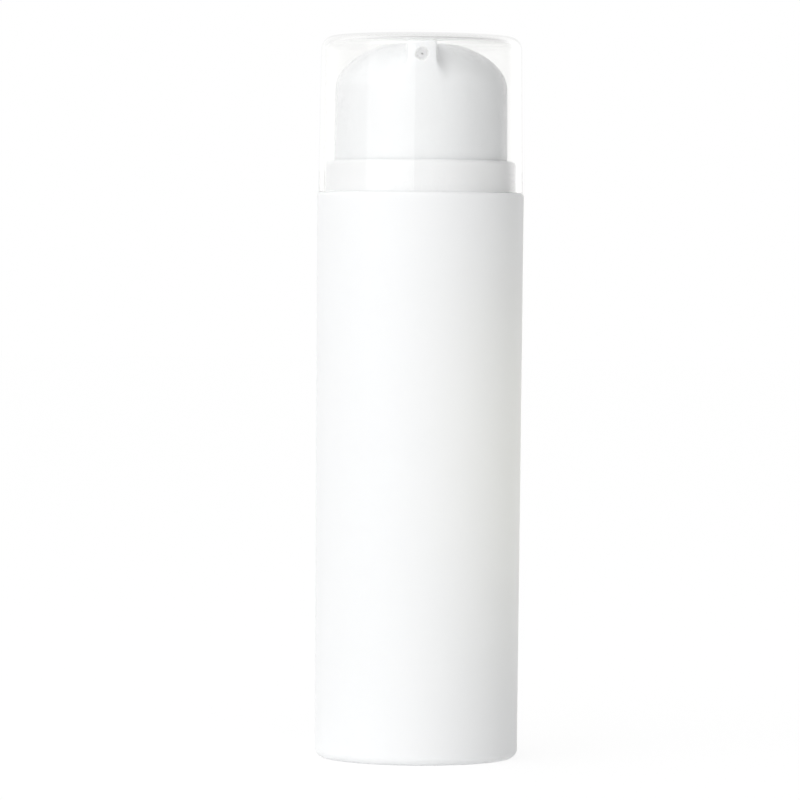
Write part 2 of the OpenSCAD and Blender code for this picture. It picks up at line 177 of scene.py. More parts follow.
def new_tree(name, sockets):
    """A Geometry Nodes group with named inputs, its group input as a wire and its identifiers."""
    tree = bpy.data.node_groups.new(name, "GeometryNodeTree")
    tree.interface.new_socket("Geometry", in_out="INPUT", socket_type="NodeSocketGeometry")
    names = {}
    for label, kind in sockets.items():
        item = tree.interface.new_socket(label, in_out="INPUT", socket_type="NodeSocket" + kind)
        names[label] = item.identifier
    tree.interface.new_socket("Geometry", in_out="OUTPUT", socket_type="NodeSocketGeometry")
    board = Board(tree)
    return board, board.add("NodeGroupInput"), names


def finish_tree(board, geometry, given):
    """The shared end of each tree: real geometry with its material."""
    real = board.add("GeometryNodeRealizeInstances", None, {"Geometry": geometry})
    done = board.add("GeometryNodeSetMaterial", None,
                     {"Geometry": real, "Material": given.out("Material")})
    board.add("NodeGroupOutput", None, {"Geometry": done})


def turning_tree():
    """The tree that turns an outline round the upright axis, with its input identifiers."""
    board, given, names = new_tree("turned_outline", {
        "Steps round": "Int", "Merge within": "Float", "Crease from": "Float",
        "Material": "Material"})
    outline = given.out("Geometry")
    steps = given.out("Steps round")
    rows = board.add("GeometryNodeAttributeDomainSize", {"component": "MESH"},
                     {"Geometry": outline}, "Point Count")
    columns = steps + 1
    grid = board.add("GeometryNodeMeshGrid", None, {"Vertices X": rows, "Vertices Y": columns})
    index = board.add("GeometryNodeInputIndex")
    row = board.add("ShaderNodeMath", {"operation": "FLOOR"}, {0: (index + 0.5) / columns})
    column = index - row * columns
    point = board.add("GeometryNodeSampleIndex", {"data_type": "FLOAT_VECTOR", "domain": "POINT"},
                      {"Geometry": outline, "Value": board.add("GeometryNodeInputPosition"),
                       "Index": row})
    place = board.add("ShaderNodeVectorRotate", {"rotation_type": "Z_AXIS"},
                      {"Vector": point, "Angle": column * math.tau / steps})
    turned = board.add("GeometryNodeSetPosition", None, {"Geometry": grid, "Position": place})
    merged = board.add("GeometryNodeMergeByDistance", None,
                       {"Geometry": turned, "Distance": given.out("Merge within")})
    smooth = board.add("GeometryNodeSetShadeSmooth", {"domain": "FACE"},
                       {"Geometry": merged, "Shade Smooth": True})
    bend = board.add("GeometryNodeInputMeshEdgeAngle")
    crisp = board.add("GeometryNodeSetShadeSmooth", {"domain": "EDGE"},
                      {"Geometry": smooth, "Selection": bend > given.out("Crease from"),
                       "Shade Smooth": False})
    finish_tree(board, crisp, given)
    return board.tree, names


TURNING = turning_tree()
print("turning tree:", len(TURNING[0].nodes), "nodes, inputs", sorted(TURNING[1]))

# %% [markdown]
# Outlines are lists of radius and height in millimetres. Moulded plastic has no knife edges, so
# each corner can be given a fillet. Beside every fillet lies one extra point, close to it: it
# keeps the smooth shading of the fillet from spreading over the long straight wall next to it.

# %% Outlines with fillets, and a plain mesh from a tree
FILLET_STEPS = 8
GUARD = 0.12
DOUBLE, NO_LENGTH, SEAM = 1e-7, 1e-8, 2e-6


def rounded(corners):
    """Outline points from corners given as (radius, height) or (radius, height, fillet)."""
    spots = [Vector(c[:2]) for c in corners]
    radii = [c[2] if len(c) > 2 else 0 for c in corners]
    points = []
    for i, here in enumerate(spots):
        if not radii[i] or i in (0, len(spots) - 1):
            points.append(here)
            continue
        back = (spots[i - 1] - here).normalized()
        on = (spots[i + 1] - here).normalized()
        half = back.angle(on) / 2
        reach = radii[i] / math.tan(half)
        middle = here + (back + on).normalized() * radii[i] / math.sin(half)
        first, last = here + back * reach, here + on * reach
        a, b = first - middle, last - middle
        swing = math.atan2(a.x * b.y - a.y * b.x, a.dot(b))
        points.append(first + back * GUARD * radii[i])
        for k in range(FILLET_STEPS + 1):
            turn = swing * k / FILLET_STEPS
            points.append(middle + Vector((a.x * math.cos(turn) - a.y * math.sin(turn),
                                           a.x * math.sin(turn) + a.y * math.cos(turn))))
        points.append(last + on * GUARD * radii[i])
    return points


def link(data, name):
    """A new object in the scene, at the origin."""
    thing = bpy.data.objects.new(name, data)
    bpy.context.scene.collection.objects.link(thing)
    return thing


def tidy_mesh(mesh):
    """Merges doubles and turns all faces outwards; returns the open edges and the volume."""
    work = bmesh.new()
    work.from_mesh(mesh)
    bmesh.ops.remove_doubles(work, verts=work.verts, dist=DOUBLE)
    bmesh.ops.dissolve_degenerate(work, edges=work.edges, dist=NO_LENGTH)
    bmesh.ops.recalc_face_normals(work, faces=work.faces)
    open_edges = sum(1 for e in work.edges if len(e.link_faces) != 2)
    volume = work.calc_volume(signed=True) / MM ** 3
    work.to_mesh(mesh)
    work.free()
    return open_edges, volume


def run_tree(name, start, tree, material, **inputs):
    """Runs a tree on a start mesh and keeps the result as a plain mesh object."""
    group, names = tree
    starter = link(start, name + "_start")
    modifier = starter.modifiers.new("tree", "NODES")
    modifier.node_group = group
    for label, value in {**inputs, "Material": material}.items():
        modifier[names[label.replace("_", " ")]] = value
    shown = starter.evaluated_get(bpy.context.evaluated_depsgraph_get())
    mesh = bpy.data.meshes.new_from_object(shown)
    starter.modifiers.remove(modifier)
    bpy.data.objects.remove(starter)
    piece = link(mesh, name)
    mesh.name = name
    open_edges, volume = tidy_mesh(mesh)
    print(f"{name}: {len(mesh.polygons)} faces, {open_edges} open edges, {volume:.0f} mm3")
    return piece


def turned_piece(name, points, material, steps=256, crease=40):
    """A solid of revolution from outline points in millimetres."""
    start = bpy.data.meshes.new(name + "_outline")
    verts = [(p[0] * MM, 0, p[1] * MM) for p in points]
    start.from_pydata(verts, [(i, i + 1) for i in range(len(verts) - 1)], [])
    return run_tree(name, start, TURNING, material, Steps_round=steps, Merge_within=SEAM,
                    Crease_from=math.radians(crease))


# %% [markdown]
# ## White polypropylene
# Moulded polypropylene is nearly white, slightly milky, and satin rather than mirror bright. Up
# close it has a fine orange-peel skin and long, very shallow waves where it shrank in the mould.
# A plain colour would look like paper. Light also enters the plastic a little way before it comes
# out again, which softens its shadows. The noise patterns are all in object coordinates, so they
# stay in place when a piece moves.

# %% Moulded plastic
PEEL_HEIGHT, WAVE_HEIGHT = 0.012 * MM, 0.02 * MM
PLASTIC_IOR = 1.49


def shader_board(name):
    """An empty material, with its board and its output node."""
    material = bpy.data.materials.new(name)
    material.use_nodes = True
    material.node_tree.nodes.clear()
    return material, Board(material.node_tree)


def noise(board, where, size_mm, detail=2):
    """Noise from 0 to 1 whose blotches are about size_mm across."""
    return board.add("ShaderNodeTexNoise", {"noise_dimensions": "3D"},
                     {"Vector": where, "Scale": 1 / (size_mm * MM), "Detail": detail,
                      "Roughness": 0.5})


def blend(board, share, first, second):
    """A colour between two colours."""
    return board.add("ShaderNodeMix", {"data_type": "RGBA"},
                     {"Factor": share, 6: first, 7: second}, 2)


def grey(level, warm=0.0):
    """A grey. Above 0, warm takes blue away; below 0 it takes red and half as much green away."""
    cool = min(warm, 0)
    return (level * (1 + cool), level * (1 + cool / 2), level * (1 - max(warm, 0)), 1)


def stretched(board, where, x, y, z):
    """Coordinates scaled along the axes: a small number makes a pattern long in that direction."""
    return board.add("ShaderNodeMapping", {"vector_type": "POINT"},
                     {"Vector": where, "Scale": (x, y, z)})


def moulded_plastic(name, light, dark, roughness, peel_mm=0.45, milky=0.0, depth_mm=1.2):
    """Satin moulded plastic: cloudy colour, uneven gloss, orange peel and long shallow waves."""
    material, board = shader_board(name)
    where = board.add("ShaderNodeTexCoord", output="Object")
    cloud = noise(board, where, 14, 3)
    speck = noise(board, where, 1.6, 2)
    colour = blend(board, cloud * 0.7 + speck * 0.3, dark, light)
    skin = noise(board, where, peel_mm, 2)
    flow = noise(board, stretched(board, where, 1, 1, 0.35), 9, 1)
    satin = roughness - 0.05 + 0.06 * flow + 0.05 * skin
    peel_bump = board.add("ShaderNodeBump", None,
                          {"Strength": 0.35, "Distance": PEEL_HEIGHT, "Height": skin})
    wave_bump = board.add("ShaderNodeBump", None,
                          {"Strength": 0.5, "Distance": WAVE_HEIGHT, "Height": flow,
                           "Normal": peel_bump})
    surface = board.add("ShaderNodeBsdfPrincipled", None,
                        {"Base Color": colour, "Roughness": satin, "IOR": PLASTIC_IOR,
                         "Specular IOR Level": 0.4, "Normal": wave_bump})
    if milky:
        node = surface.socket.node
        node.subsurface_method = "RANDOM_WALK"
        board.feed(node.inputs["Subsurface Weight"], milky)
        board.feed(node.inputs["Subsurface Radius"], (1.0, 1.0, 1.0))
        board.feed(node.inputs["Subsurface Scale"], depth_mm * MM)
    board.add("ShaderNodeOutputMaterial", None, {"Surface": surface})
    return material


bottle_white = moulded_plastic("bottle_white", grey(0.935, -0.019), grey(0.92, -0.019), 0.32,
                               milky=0.6)
collar_white = moulded_plastic("collar_white", grey(0.94, -0.018), grey(0.925, -0.018), 0.28,
                               milky=0.5)
head_white = moulded_plastic("head_white", grey(0.935, -0.025), grey(0.92, -0.025), 0.27,
                             peel_mm=0.35, milky=0.6)
# Painted light: a paler copy of the head's plastic, with light spreading deeper in it, makes the
# nozzle recess look lit.
nozzle_painted_light_white = moulded_plastic("nozzle_painted_light_white", grey(0.97, -0.01), grey(0.96, -0.01), 0.3,
                               milky=1.0, depth_mm=3.0)
natural_white = moulded_plastic("natural_white", grey(0.88, 0.01), grey(0.84, 0.02), 0.38)
soft_ivory = moulded_plastic("soft_ivory", grey(0.88, 0.05), grey(0.83, 0.07), 0.5)
seal_grey = moulded_plastic("seal_grey", grey(0.8, 0.01), grey(0.74, 0.02), 0.55, peel_mm=0.3)
print("plastics made:", len(bpy.data.materials))

# %% [markdown]
# ## Drawn steel
# The spring and the valve ball are stainless steel. Drawn wire has fine lines along its length and
# a gloss that changes from spot to spot. They are hidden in the pump, so the pattern stays simple.

# %% Steel


def drawn_steel():
    """Stainless steel with fine lines and uneven gloss."""
    material, board = shader_board("drawn_steel")
    where = board.add("ShaderNodeTexCoord", output="Object")
    lines = noise(board, stretched(board, where, 1, 1, 6), 0.5, 3)
    blotch = noise(board, where, 2, 2)
    colour = blend(board, blotch, grey(0.62, 0.01), grey(0.74))
    bump = board.add("ShaderNodeBump", None, {"Strength": 0.3, "Distance": 0.01 * MM,
                                              "Height": lines})
    surface = board.add("ShaderNodeBsdfPrincipled", None,
                        {"Base Color": colour, "Metallic": 1.0,
                         "Roughness": 0.2 + 0.15 * lines, "Normal": bump})
    board.add("ShaderNodeOutputMaterial", None, {"Surface": surface})
    return material


steel = drawn_steel()

# %% [markdown]
# ## Clear overcap
# The cap is moulded from clear plastic, a millimetre thick, polished inside and out. Glass that
# bends light is right for what the camera sees. For shadows and for soft light it is swapped for a
# plain transparent surface, because light that has to find its way through bent glass arrives as
# bright speckles, and the press head inside would look dark. Rays that have already bounced more
# than five times get the plain surface too. Faint waves and hairlines keep the cap from looking
# like a perfect tube. Its tint is very slightly warm.

# %% Clear plastic
DEEP_BOUNCE = 5.5


def clear_plastic():
    """Polished clear plastic, bent light for the camera and plain see-through for the rest."""
    material, board = shader_board("clear_plastic")
    where = board.add("ShaderNodeTexCoord", output="Object")
    flow = noise(board, stretched(board, where, 1, 1, 0.25), 11, 1)
    hair = noise(board, stretched(board, where, 1, 1, 14), 0.9, 2)
    scuff = board.add("ShaderNodeValToRGB", {"stops": [(0.62, 0), (0.8, 1)]}, {"Fac": hair})
    haze = 0.008 + 0.02 * scuff
    bump = board.add("ShaderNodeBump", None,
                     {"Strength": 0.15, "Distance": 0.01 * MM, "Height": flow})
    tint = blend(board, flow, grey(0.985, 0.004), grey(0.975, 0.006))
    glass = board.add("ShaderNodeBsdfPrincipled", None,
                      {"Base Color": tint, "Roughness": haze, "IOR": PLASTIC_IOR,
                       "Transmission Weight": 1.0, "Normal": bump})
    film = board.add("ShaderNodeBsdfTransparent", None, {"Color": grey(0.99)})
    path = board.add("ShaderNodeLightPath", output="Is Shadow Ray")
    soft = board.add("ShaderNodeMath", {"operation": "MAXIMUM"},
                     {0: path, 1: path.out("Is Diffuse Ray")})
    lost = path.out("Ray Depth") > DEEP_BOUNCE
    plain = board.add("ShaderNodeMath", {"operation": "MAXIMUM"}, {0: soft, 1: lost})
    both = board.add("ShaderNodeMixShader", None, {0: plain, 1: glass, 2: film})
    board.add("ShaderNodeOutputMaterial", None, {"Surface": both})
    return material


cap_clear = clear_plastic()

# %% [markdown]
# ## Bottle
# The bottle is one moulding: a straight wall that narrows a little towards the foot, a small
# rounding at the shoulder, a bigger one at the foot, and a recessed base with an air hole. Its
# outline is a closed loop, because the wall has an inside too. Two steps give the base its shape:
# the recess is 1.2 mm high in the middle and 0.9 mm near the ring that the bottle stands on.

# %% Bottle
bottle_r, bottle_top = [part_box("bottle")[1][i] / MM for i in (0, 2)]
FOOT_R = bottle_r - 0.45
BORE_R = bottle_r - 2.9
MOUTH_R = bottle_r - 1.9
VENT_R = 3.0
FLOOR_Z, LEDGE_Z = 3.2, bottle_top - 12
RECESS_Z, RING_Z, STEP_R = 1.2, 0.9, 13.2
bottle_outline = rounded([
    (VENT_R, FLOOR_Z), (VENT_R, RECESS_Z, 0.3), (STEP_R, RECESS_Z, 0.3), (STEP_R, RING_Z, 0.15),
    (FOOT_R - 6, RING_Z, 0.5), (FOOT_R - 4.9, 0, 0.5), (FOOT_R, 0, 2), (bottle_r, bottle_top, 0.8),
    (MOUTH_R, bottle_top), (MOUTH_R, LEDGE_Z), (BORE_R, LEDGE_Z), (BORE_R, FLOOR_Z, 0.4),
    (VENT_R, FLOOR_Z)])
bottle = turned_piece("bottle_shell", bottle_outline, bottle_white, steps=288)
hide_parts("bottle")
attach(bottle, "bottle_body")

# %% [markdown]
# ## Collar
# The collar is a thin ring that snaps into the mouth with a low bead round its outside. Only its
# upper part shows, 7.5 mm high, with a soft outer edge. The press head slides in it.

# %% Collar
collar_low, collar_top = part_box("collar")[0][2] / MM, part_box("collar")[1][2] / MM
COLLAR_R = MOUTH_R - 0.05
COLLAR_BORE_R = COLLAR_R - 1.6
BEAD_Z = (collar_low + bottle_top) / 2
BEAD_HALF, BEAD_OUT = 0.9, 0.3
collar_outline = rounded([
    (COLLAR_BORE_R, collar_low), (COLLAR_R, collar_low), (COLLAR_R, BEAD_Z - BEAD_HALF),
    (COLLAR_R + BEAD_OUT, BEAD_Z), (COLLAR_R, BEAD_Z + BEAD_HALF), (COLLAR_R, collar_top, 1.0),
    (COLLAR_BORE_R, collar_top, 0.25), (COLLAR_BORE_R, collar_low)])
collar = turned_piece("collar_ring", collar_outline, collar_white, steps=256)
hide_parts("collar")
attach(collar, "bottle_body")

# %% [markdown]
# ## Press head
# The head is a dome on a straight skirt. A small square spout grows out of its front, flush with
# the skirt, so that it stands out only where the dome curves away from it. Where spout and dome
# meet, the mould is rounded, more so near the skirt. Booleans of primitives leave a hard seam
# there. So the outside is defined as a distance formula. A smooth minimum melts the spout's sides
# into the dome, and its face is cut afterwards, so that it stays flush. Rays from a point inside
# find where the formula is zero. They lie closer together near the spout, because its edges need
# more points.

# %% The formula of the press head
HEAD_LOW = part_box("actuator")[0][2] / MM
HEAD_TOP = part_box("actuator")[1][2] / MM
SKIRT_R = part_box("actuator")[1][0] / MM
SKIRT_DRAFT, LOW_EDGE = 0.2, 0.3
DOME_R, DOME_H = SKIRT_R - SKIRT_DRAFT, 11.7
DOME_Z = HEAD_TOP - DOME_H
SPOUT_HALF, SPOUT_TOP, SPOUT_FACE_R = 3.4, HEAD_TOP - 0.7, DOME_R - 0.05
SPOUT_BACK_Y, SPOUT_EDGE, FACE_EDGE = -2, 0.7, 0.5
NOZZLE_Z = SPOUT_TOP - 3.3


def smooth_min(a, b, k):
    """The smaller of two values, with a soft change from one to the other within k."""
    h = np.clip(0.5 + 0.5 * (b - a) / k, 0, 1)
    return b + (a - b) * h - k * h * (1 - h)


def head_distance(x, y, z):
    """Roughly how far a point in millimetres lies outside the press head."""
    r = np.hypot(x, y)
    up = z - DOME_Z
    k1 = np.hypot(r / DOME_R, up / DOME_H)
    k2 = np.hypot(r / DOME_R ** 2, up / DOME_H ** 2)
    dome = k1 * (k1 - 1) / np.maximum(k2, 1e-6)
    skirt = r - DOME_R - SKIRT_DRAFT * (DOME_Z - z) / (DOME_Z - HEAD_LOW)
    body = np.where(up > 0, dome, skirt)
    body = -smooth_min(-body, -(HEAD_LOW - z), LOW_EDGE)
    qx = np.abs(x) - SPOUT_HALF + SPOUT_EDGE
    qz = z - SPOUT_TOP + SPOUT_EDGE
    bar = (np.hypot(np.maximum(qx, 0), np.maximum(qz, 0))
           + np.minimum(np.maximum(qx, qz), 0) - SPOUT_EDGE)
    bar = np.maximum(np.maximum(bar, DOME_Z - z), y - SPOUT_BACK_Y)
    melt = np.clip(6 - 0.5 * up, 1.0, 3.6)
    grown = smooth_min(body, bar, melt)
    spout = -smooth_min(-grown, -(r - SPOUT_FACE_R), FACE_EDGE)
    return np.minimum(body, spout)


# %% Rays that find the surface
SPOUT_SIDES, SPOUT_CREST = [-101, -79], [9.2]
RAYS_ROUND, RAYS_UP, HALVINGS = 380, 190, 40
CROWDING = 7


def crowded(centres, width, count, low, high):
    """Angles in degrees from low to high, closer together near the centres."""
    fine = np.linspace(low, high, 4001)
    weight = 1 + sum(CROWDING * np.exp(-((fine - c) / width) ** 2) for c in centres)
    total = np.concatenate([[0], np.cumsum((weight[1:] + weight[:-1]) / 2)])
    return np.interp(np.linspace(0, total[-1], count), total, fine)


def head_skin():
    """Points of the head's outside on rays from a point on the axis."""
    around = crowded(SPOUT_SIDES, 5.5, RAYS_ROUND, -270, 90)[:-1]
    tilt = crowded(SPOUT_CREST, 4.5, RAYS_UP, -89.5, 89.5)
    a, t = np.meshgrid(np.radians(around), np.radians(tilt))
    dx, dy, dz = np.cos(t) * np.cos(a), np.cos(t) * np.sin(a), np.sin(t)
    near, far = np.zeros_like(dx), np.full_like(dx, 60.0)
    for _ in range(HALVINGS):
        mid = (near + far) / 2
        outside = head_distance(dx * mid, dy * mid, NOZZLE_Z + dz * mid) > 0
        near, far = np.where(outside, near, mid), np.where(outside, mid, far)
    return np.stack([dx * near, dy * near, NOZZLE_Z + dz * near], -1)


def mesh_from_rows(name, rows, low_pole, high_pole):
    """A closed skin from rows of points that each go once round the axis."""
    count, width = rows.shape[:2]
    verts = [tuple(p) for p in rows.reshape(-1, 3) * MM]
    verts += [tuple(np.array(low_pole) * MM), tuple(np.array(high_pole) * MM)]
    faces = []
    for i in range(count - 1):
        for j in range(width):
            k = (j + 1) % width
            faces.append((i * width + j, i * width + k, (i + 1) * width + k, (i + 1) * width + j))
    last = (count - 1) * width
    for j in range(width):
        k = (j + 1) % width
        faces.append((len(verts) - 2, k, j))
        faces.append((len(verts) - 1, last + j, last + k))
    mesh = bpy.data.meshes.new(name)
    mesh.from_pydata(verts, [], faces)
    return mesh


skin = head_skin()
head_mesh = mesh_from_rows("press_head_skin", skin, (0, 0, HEAD_LOW), (0, 0, HEAD_TOP))
print("head skin:", len(head_mesh.polygons), "faces, y from", round(skin[..., 1].min(), 2),
      "z to", round(skin[..., 2].max(), 2))

# %% [markdown]
# The inside of the head is turned: a skirt bore, a ledge that the core plate rests on, and a domed
# hollow. It is cut out with exact booleans, as are the duct and the nozzle, a round recess with a
# soft rim in the spout's face and a small hole in its floor. The recess gets a paler copy of the
# head's plastic, in which light spreads deeper: painted light, so that the recess looks lit.

# %% Hollow, duct and nozzle


def apply_modifiers(thing):
    """The shown shape as a plain mesh in the same object, with no modifier left."""
    shown = thing.evaluated_get(bpy.context.evaluated_depsgraph_get())
    mesh = bpy.data.meshes.new_from_object(shown)
    thing.modifiers.clear()
    thing.data = mesh
    return thing


def cut_with(thing, cutter):
    """Takes the cutter away from the piece; the new faces get the cutter's material."""
    step = thing.modifiers.new("cut", "BOOLEAN")
    step.operation, step.solver, step.object = "DIFFERENCE", "EXACT", cutter
    step.material_mode = "TRANSFER"
    apply_modifiers(thing)
    bpy.data.objects.remove(cutter)
    return thing


def lying(piece, height):
    """Turns a piece about the upright axis into one along -Y at this height, in its mesh."""
    quarter_turn = Matrix.Rotation(math.pi / 2, 4, "X")
    piece.data.transform(Matrix.Translation((0, 0, height * MM)) @ quarter_turn)
    return piece


HEAD_WALL = 1.3
PLATE_Z, HOLLOW_R = DOME_Z - 1.2, DOME_R - 2.1
hollow_h = HEAD_TOP - HEAD_WALL - PLATE_Z
head = link(head_mesh, "press_head_shell")
head.data.materials.append(head_white)
tidy_mesh(head.data)
inner = rounded([(0, HEAD_LOW - 1), (SKIRT_R - HEAD_WALL, HEAD_LOW - 1),
                 (DOME_R - HEAD_WALL, PLATE_Z), (HOLLOW_R, PLATE_Z)])
inner += [Vector((HOLLOW_R * math.cos(a), PLATE_Z + hollow_h * math.sin(a)))
          for a in np.linspace(0, math.pi / 2, 40)[1:]]
cut_with(head, turned_piece("hollow_cutter", inner, head_white, steps=128))
NOZZLE_R, NOZZLE_FLOOR_R, NOZZLE_END, ORIFICE_R = 1.45, 1.3, SPOUT_FACE_R - 1.7, 0.16
FLARE_R, FLARE_END, CUTTER_END = NOZZLE_R + 0.9, SPOUT_FACE_R + 0.6, 24
DUCT_HOLE_R, DUCT_END = 2.15, SPOUT_FACE_R - 4.6
duct = [(0, 0), (DUCT_HOLE_R, 0), (DUCT_HOLE_R, DUCT_END), (0, DUCT_END)]
cut_with(head, lying(turned_piece("duct_cutter", duct, head_white, steps=96), NOZZLE_Z))
nozzle = rounded([
    (0, DUCT_END - 1), (ORIFICE_R, DUCT_END - 1), (ORIFICE_R, NOZZLE_END, 0.06),
    (NOZZLE_FLOOR_R, NOZZLE_END, 0.4), (NOZZLE_R, SPOUT_FACE_R - 0.3, 0.5),
    (FLARE_R, FLARE_END), (FLARE_R, CUTTER_END), (0, CUTTER_END)])
# The recess faces take the paler nozzle plastic, which paints light into the recess.
cut_with(head, lying(turned_piece("nozzle_cutter", nozzle, nozzle_painted_light_white, steps=96), NOZZLE_Z))
open_edges, volume = tidy_mesh(head.data)
for polygon in head.data.polygons:
    polygon.use_smooth = True
head.data.set_sharp_from_angle(angle=math.radians(35))
print(f"press head: {len(head.data.polygons)} faces, {open_edges} open edges, {volume:.0f} mm3")
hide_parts("actuator")
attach(head, "press_head")

# %% [markdown]
# ## Overcap
# The cap is a clear cup turned upside down, with a crowned top and two small ribs inside its rim
# that grip the collar. Its wall is a real wall, because the edges of clear plastic show its
# thickness. The ribs are placed by a second tree: it puts one rib on each point of a ring, turns
# it to face the axis and joins it to the wall.

# %% Overcap
CAP_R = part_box("overcap")[1][0] / MM
CAP_LOW, CAP_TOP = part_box("overcap")[0][2] / MM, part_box("overcap")[1][2] / MM
CAP_WALL, CAP_CROWN, CAP_EDGE = 1.1, 0.75, 3.0
CAP_TOP_R = CAP_R - 0.45
CROWN_STEPS, EDGE_STEPS = 10, 14


def crown(radius, edge_z):
    """A gently crowned disc, from its edge to the axis."""
    shares = [1 - i / CROWN_STEPS for i in range(CROWN_STEPS + 1)]
    return [Vector((radius * k, edge_z + CAP_CROWN * (1 - k * k))) for k in shares]


def quarter(centre_x, centre_z, radius):
    """A quarter circle, from its outermost point up to its highest."""
    angles = [math.pi / 2 * i / EDGE_STEPS for i in range(EDGE_STEPS + 1)]
    return [Vector((centre_x + radius * math.cos(a), centre_z + radius * math.sin(a)))
            for a in angles]


edge_x = CAP_TOP_R - CAP_EDGE
edge_z = CAP_TOP - CAP_CROWN
inner_edge = CAP_EDGE - CAP_WALL
wall_out = rounded([(CAP_R - CAP_WALL, CAP_LOW), (CAP_R - CAP_WALL / 2, CAP_LOW, 0.01),
                    (CAP_R, CAP_LOW, 0.2), (CAP_TOP_R, edge_z - CAP_EDGE)])[1:]
outside = wall_out[:-1] + quarter(edge_x, edge_z - CAP_EDGE, CAP_EDGE) + crown(edge_x, edge_z)[1:]
inside = (quarter(edge_x, edge_z - CAP_WALL - inner_edge, inner_edge)
          + crown(edge_x, edge_z - CAP_WALL)[1:])
inside = [Vector((CAP_R - CAP_WALL, CAP_LOW))] + inside
cap_outline = inside[::-1] + outside
cap = turned_piece("overcap_shell", cap_outline, cap_clear, steps=288)


def rib_tree():
    """The tree that joins ribs to the inside of a ring, with its input identifiers."""
    board, given, names = new_tree("grip_ribs", {
        "Rib count": "Int", "Ring radius": "Float", "Rib depth": "Float", "Rib width": "Float",
        "Rib height": "Float", "Rim height": "Float", "Material": "Material"})
    angle = board.add("GeometryNodeInputIndex") * math.tau / given.out("Rib count")
    start = board.add("ShaderNodeCombineXYZ", None, {0: given.out("Ring radius")})
    place = board.add("ShaderNodeVectorRotate", {"rotation_type": "Z_AXIS"},
                      {"Vector": start, "Angle": angle})
    spots = board.add("GeometryNodePoints", None,
                      {"Count": given.out("Rib count"), "Position": place})
    size = board.add("ShaderNodeCombineXYZ", None,
                     {0: given.out("Rib depth"), 1: given.out("Rib width"),
                      2: given.out("Rib height")})
    rib = board.add("GeometryNodeMeshCube", None, {"Size": size})
    turn = board.add("ShaderNodeCombineXYZ", None, {2: angle})
    ribs = board.add("GeometryNodeInstanceOnPoints", None,
                     {"Points": spots, "Instance": rib, "Rotation": turn})
    lift = board.add("ShaderNodeCombineXYZ", None,
                     {2: given.out("Rim height") + given.out("Rib height") / 2})
    raised = board.add("GeometryNodeTransform", None, {"Geometry": ribs, "Translation": lift})
    real = board.add("GeometryNodeRealizeInstances", None, {"Geometry": raised})
    joined = board.add("GeometryNodeMeshBoolean", {"operation": "UNION", "solver": "EXACT"},
                       {"Mesh 2": [given.out("Geometry"), real]})
    finish_tree(board, joined, given)
    return board.tree, names


RIB_COUNT, RIB_W, RIB_H = 2, 1.2, 5
rib_in, rib_out = COLLAR_R + 0.08, CAP_R - CAP_WALL / 2
cap_mesh = cap.data
bpy.data.objects.remove(cap)
cap = run_tree("overcap_shell", cap_mesh, rib_tree(), cap_clear, Rib_count=RIB_COUNT,
               Ring_radius=(rib_in + rib_out) / 2 * MM, Rib_depth=(rib_out - rib_in) * MM,
               Rib_width=RIB_W * MM, Rib_height=RIB_H * MM, Rim_height=(CAP_LOW + 0.02) * MM)
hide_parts("overcap")
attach(cap, "cap")

# %% [markdown]
# ## The pump inside
# Carrier, housing, guide, stem, valve tip, the head's core, seals, ball and both pistons keep
# their CAD meshes. They only show when the model is taken apart, and their shapes are right as
# they are. Each gets the plastic, rubber or steel that such a part is made of.

# %% Finishes for the CAD nodes
FINISHES = {
    "pump_carrier": natural_white, "pump_housing": natural_white, "stem_guide": natural_white,
    "stem": natural_white, "stem_tip": natural_white, "actuator_core": natural_white,
    "neck_gasket": seal_grey, "housing_gasket": seal_grey, "pump_piston": soft_ivory,
    "follower_piston": soft_ivory, "inlet_ball": steel}
for node, finish in FINISHES.items():
    for place in frame["nodes"][node].material_slots:
        place.material = finish
print("CAD nodes finished:", len(FINISHES))

# %% [markdown]
# ## Return spring
# The spring is steel wire, coiled round the stem between the guide and the stem's flange. Its CAD
# mesh has the right shape, but a CAD node rides on one body only, and a real spring stands on the
# guide while the stem goes down. So a merged copy of that mesh takes its place. It rides on the
# push rod and is not squashed.

# %% Spring
wire_mesh = frame["nodes"]["spring"].data.copy()
wire_mesh.transform(frame["nodes"]["spring"].matrix_world)
wire_mesh.materials.clear()
wire_mesh.materials.append(steel)
spring = link(wire_mesh, "return_spring")
open_edges, volume = tidy_mesh(wire_mesh)
for polygon in wire_mesh.polygons:
    polygon.use_smooth = True
spring_low, spring_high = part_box("spring")[0][2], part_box("spring")[1][2]
stroke = next(j for j in frame["joints"] if j["name"] == "press")["range_m"][1]
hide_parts("spring")
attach(spring, "push_rod")
1 - stroke / (spring_high - spring_low)
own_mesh(spring)
print("spring:", open_edges, "open edges,", round(volume, 1), "mm3, stroke in mm", stroke / MM)

# %% [markdown]
# ## Floor and light
# The photograph is a catalogue picture: pure white behind, one tall softbox on the left in front,
# a bright room around, and less light from the right. The floor is a plain pale sheet. Towards the
# camera it glows a little, so that it reads as white while the bottle's soft shadow still shows.

# %% Floor
FLOOR_GLOW, GLOW_ALWAYS, GLOW_WHEN_SEEN = 1.08, 0.19, 0.61
FLOOR_HALF = 6.0


